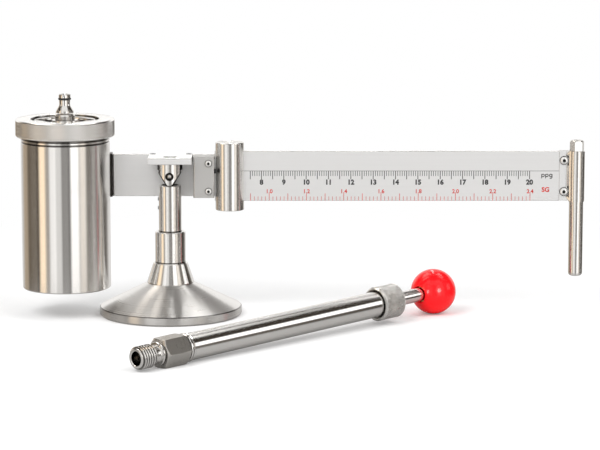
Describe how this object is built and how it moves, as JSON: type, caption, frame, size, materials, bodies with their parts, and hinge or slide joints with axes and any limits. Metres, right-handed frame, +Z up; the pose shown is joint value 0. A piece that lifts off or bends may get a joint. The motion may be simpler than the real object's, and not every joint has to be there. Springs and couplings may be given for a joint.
{
  "type": "pressurised mud balance",
  "caption": "Liquid density balance: lidded steel cup and graduated beam with rider on a knife-edge stand, with a separate plunger pump that fills the cup.",
  "frame": {"origin": "centre of the stand's foot, on the table", "axes": "+X along the graduated beam towards the shot tube, +Y away from the reader, +Z up"},
  "size_m": [0.4891, 0.3101, 0.191],
  "materials": {
    "turned_steel": "polished",
    "brushed_steel": "brushed",
    "knurled_steel": "knurled",
    "hard_steel": "ground",
    "black_steel": "blackened",
    "screw_steel": "bright",
    "black_rubber": "satin",
    "white_plastic": "matt",
    "vial_glass": "clear",
    "vial_liquid": "clear",
    "lead": "dull",
    "brass": "turned",
    "red_plastic": "gloss"
  },
  "bodies": {
    "stand": {"stand_base": "turned_steel", "base_collar": "turned_steel", "lower_post": "turned_steel", "upper_post": "turned_steel", "fulcrum_seat": "black_steel", "seat_screws": "hard_steel"},
    "balance": {"knife_stub": "turned_steel", "knife_edge": "black_steel", "knife_pin": "screw_steel", "level_block": "brushed_steel", "level_vial": "vial_glass", "level_liquid": "vial_liquid", "level_screws": "hard_steel", "arm": "brushed_steel", "arm_saddle": "black_steel", "joint_block": "brushed_steel", "joint_screws": "screw_steel", "stop_stud": "black_rubber", "graduated_beam": "brushed_steel", "end_bracket": "brushed_steel", "end_screws": "screw_steel", "shot_tube": "turned_steel", "lead_shot": "lead", "cup_body": "turned_steel", "cup_base": "turned_steel"},
    "rider": {"rider_weight": "turned_steel", "rider_ball": "screw_steel", "rider_spring": "hard_steel", "rider_screw": "hard_steel"},
    "shot_washer": {"cap_washer": "brushed_steel"},
    "shot_plug": {"shot_cap": "turned_steel"},
    "lid": {"lid": "turned_steel", "lid_seal": "black_rubber", "valve_housing": "turned_steel", "housing_seal": "black_rubber"},
    "ring_washer": {"slip_washer": "white_plastic"},
    "ring": {"cap_ring": "knurled_steel"},
    "check_valve": {"valve_stem": "turned_steel", "valve_o_ring": "black_rubber", "valve_seal": "black_rubber", "stem_nut": "hard_steel"},
    "pump_body": {"pump_nose": "turned_steel", "nose_seal": "black_rubber", "pump_barrel": "turned_steel", "pump_nut": "knurled_steel", "rod_gland": "brass", "rod_seal": "black_rubber"},
    "plunger": {"plunger_rod": "turned_steel", "piston": "brass", "piston_rings": "black_rubber", "ball_knob": "red_plastic", "knob_insert": "brass"}
  },
  "joints": [
    {"name": "beam_tilt", "type": "hinge", "parent": "stand", "child": "balance", "pos_m": [0, 0, 0.1106], "axis": [0, 1, 0], "range_deg": [-5, 5]},
    {"name": "rider_slide", "type": "slide", "parent": "balance", "child": "rider", "axis": [1, 0, 0], "range_m": [0, 0.271]},
    {"name": "shot_rise", "type": "slide", "parent": "balance", "child": "shot_washer", "axis": [0, 0, 1], "range_m": [0, 0.0091]},
    {"name": "shot_turn", "type": "hinge", "parent": "shot_washer", "child": "shot_plug", "pos_m": [0.35, 0.007, 0.141], "axis": [0, 0, 1], "range_deg": [0, 2160]},
    {"name": "lid_lift", "type": "slide", "parent": "balance", "child": "lid", "axis": [0, 0, 1], "range_m": [0, 0.1]},
    {"name": "ring_rise", "type": "slide", "parent": "lid", "child": "ring_washer", "axis": [0, 0, 1], "range_m": [0, 0.0081]},
    {"name": "ring_turn", "type": "hinge", "parent": "ring_washer", "child": "ring", "pos_m": [-0.0896, 0, 0.16], "axis": [0, 0, 1], "range_deg": [0, 1440]},
    {"name": "valve_lift", "type": "slide", "parent": "lid", "child": "check_valve", "axis": [0, 0, 1], "range_m": [0, 0.004]},
    {"name": "pump_draw", "type": "slide", "parent": "stand", "child": "pump_body", "axis": [0.7071, -0.7071, 0], "range_m": [0, 0.12]},
    {"name": "plunger_slide", "type": "slide", "parent": "pump_body", "child": "plunger", "axis": [0.7069, 0.7069, 0.025], "range_m": [0, 0.18]}
  ],
  "couplings": [
    {"joint": "shot_rise", "follows": "shot_turn", "m_per_rad": 0.00023873},
    {"joint": "ring_rise", "follows": "ring_turn", "m_per_rad": 0.00031831}
  ]
}
